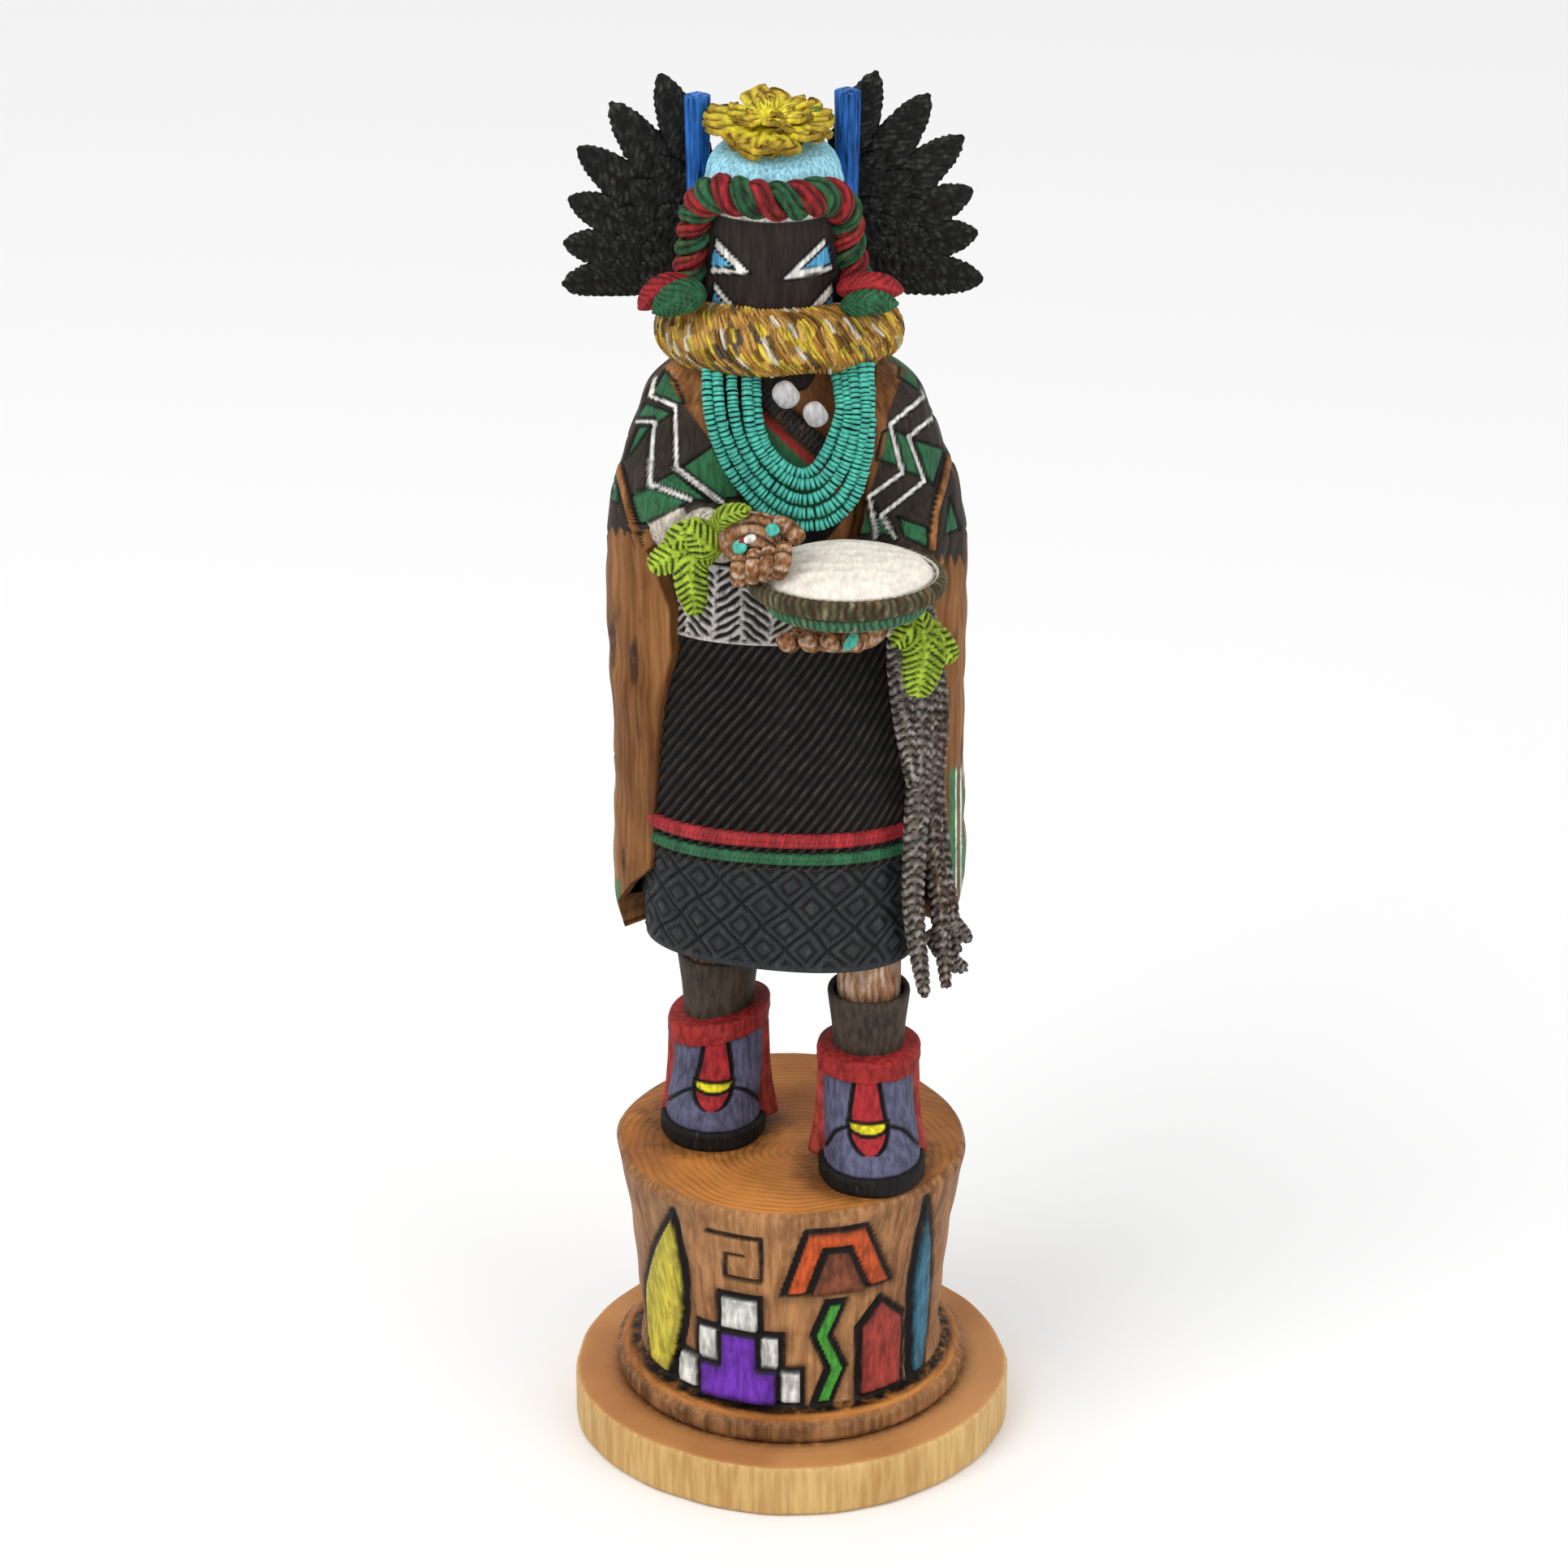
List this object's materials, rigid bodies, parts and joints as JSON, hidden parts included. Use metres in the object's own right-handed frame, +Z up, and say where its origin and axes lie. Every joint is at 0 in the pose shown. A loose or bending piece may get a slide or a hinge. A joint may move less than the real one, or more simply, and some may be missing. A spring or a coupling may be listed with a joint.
{
  "type": "kachina doll",
  "caption": "Carved and painted wooden kachina doll in mask, shawl and dress, holding a tray of meal, on a carved pedestal and round base.",
  "frame": {"origin": "centre of the base disc's flat underside", "axes": "+Z up along the figure; the figure faces -Y; +X is to the viewer's right, the figure's left hand side"},
  "size_m": [0.095, 0.102, 0.3031],
  "materials": {
    "pale_wood": "sanded pale wood under a thin clear coat",
    "carved_wood": "oiled root wood with painted relief panels",
    "painted_wood": "thin matt paint on carved wood with bare brown edges",
    "tray_paint": "cream painted mound in a dark green coiled rim",
    "feather_paint": "matt black paint on carved feathers",
    "peg_paint": "matt blue paint",
    "crest_paint": "yellow-green paint with brown wash in the grooves"
  },
  "bodies": {
    "root": {"base_disc": "pale_wood", "pedestal": "carved_wood", "figure": "painted_wood", "meal_tray": "tray_paint", "feather_fan_right": "feather_paint", "feather_fan_left": "feather_paint", "side_peg_right": "peg_paint", "side_peg_left": "peg_paint", "crest": "crest_paint"}
  },
  "joints": []
}
